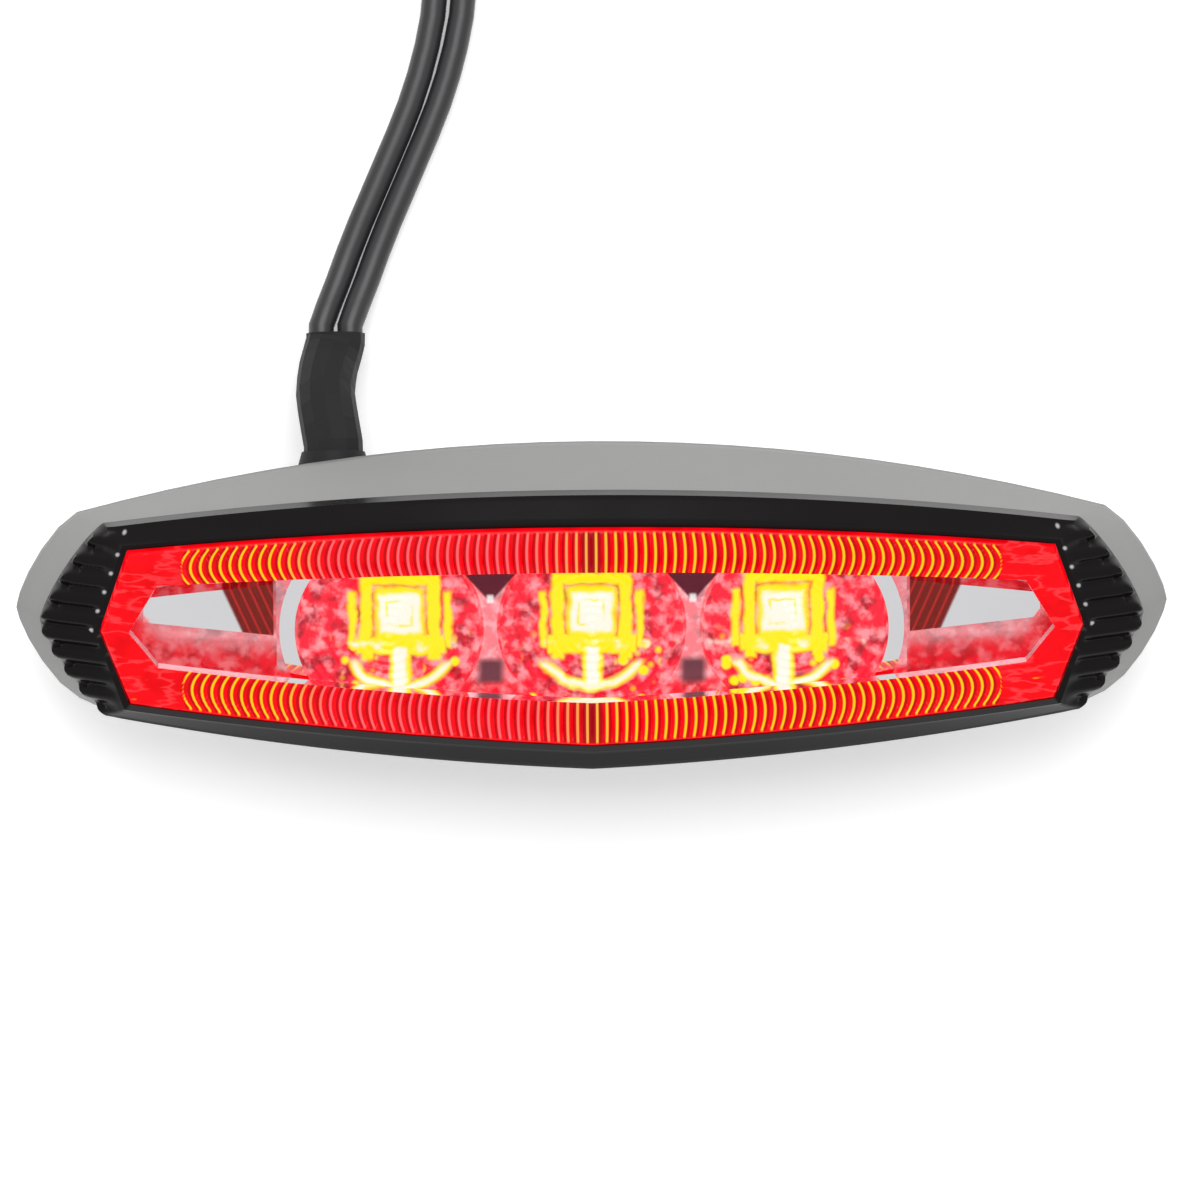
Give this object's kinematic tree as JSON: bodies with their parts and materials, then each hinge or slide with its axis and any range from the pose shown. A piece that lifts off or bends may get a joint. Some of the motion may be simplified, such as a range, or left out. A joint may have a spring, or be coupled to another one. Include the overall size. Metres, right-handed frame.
{
  "type": "motorcycle tail light",
  "caption": "Slim LED tail light with a curved fluted red lens, black bezel and wedge housing, fixed by threaded inserts in its flat back, with a short wire lead.",
  "frame": {"origin": "centre of the flat mounting face, midway between the two threaded inserts", "axes": "+X along the width, +Z out of the mounting face towards the lens, +Y up on the bike's tail (the side the lead leaves from)"},
  "size_m": [0.116, 0.1413, 0.0287],
  "materials": {
    "housing_black": "matte black moulded plastic",
    "bezel_black": "gloss black moulded plastic",
    "lens_red": "clear red moulded plastic, fluted",
    "lens_clear": "clear polished plastic",
    "optic_clear": "clear polished plastic",
    "chrome_tray": "vacuum metallised",
    "led_package": "cream ceramic and clear dome, lit",
    "board_white": "white solder mask",
    "board_green": "green solder mask",
    "aluminium": "plain sheet",
    "steel": "zinc plated",
    "brass": "machined",
    "rubber": "soft black rubber",
    "wire_black": "smooth insulation",
    "component_dark": "moulded epoxy",
    "component_tan": "lacquered"
  },
  "bodies": {
    "root": {"rear_housing": "housing_black", "back_cover": "housing_black", "back_seal": "rubber", "cover_screws": "steel", "mount_insert_left": "brass", "mount_insert_right": "brass", "front_bezel": "bezel_black", "lens_gasket": "rubber", "red_lens": "lens_red", "clear_window": "lens_clear", "reflector": "chrome_tray", "wing_left": "chrome_tray", "wing_right": "chrome_tray", "bracket_left": "chrome_tray", "bracket_right": "chrome_tray", "optic_left": "optic_clear", "optic_centre": "optic_clear", "optic_right": "optic_clear", "led_left": "led_package", "led_centre": "led_package", "led_right": "led_package", "led_board": "board_white", "heat_spreader": "aluminium", "board_screws": "steel", "driver_board": "board_green", "resistors": "component_tan", "diodes": "component_dark", "regulator": "component_dark", "capacitor": "aluminium", "link_pins": "brass", "inner_leads": "wire_black", "breather_plug": "rubber", "cable_grommet": "rubber", "cable_boot": "rubber", "wire_supply": "wire_black", "wire_ground": "wire_black", "terminal_supply": "brass", "terminal_ground": "brass", "terminal_sleeve_supply": "component_dark", "terminal_sleeve_ground": "component_dark"}
  },
  "joints": []
}
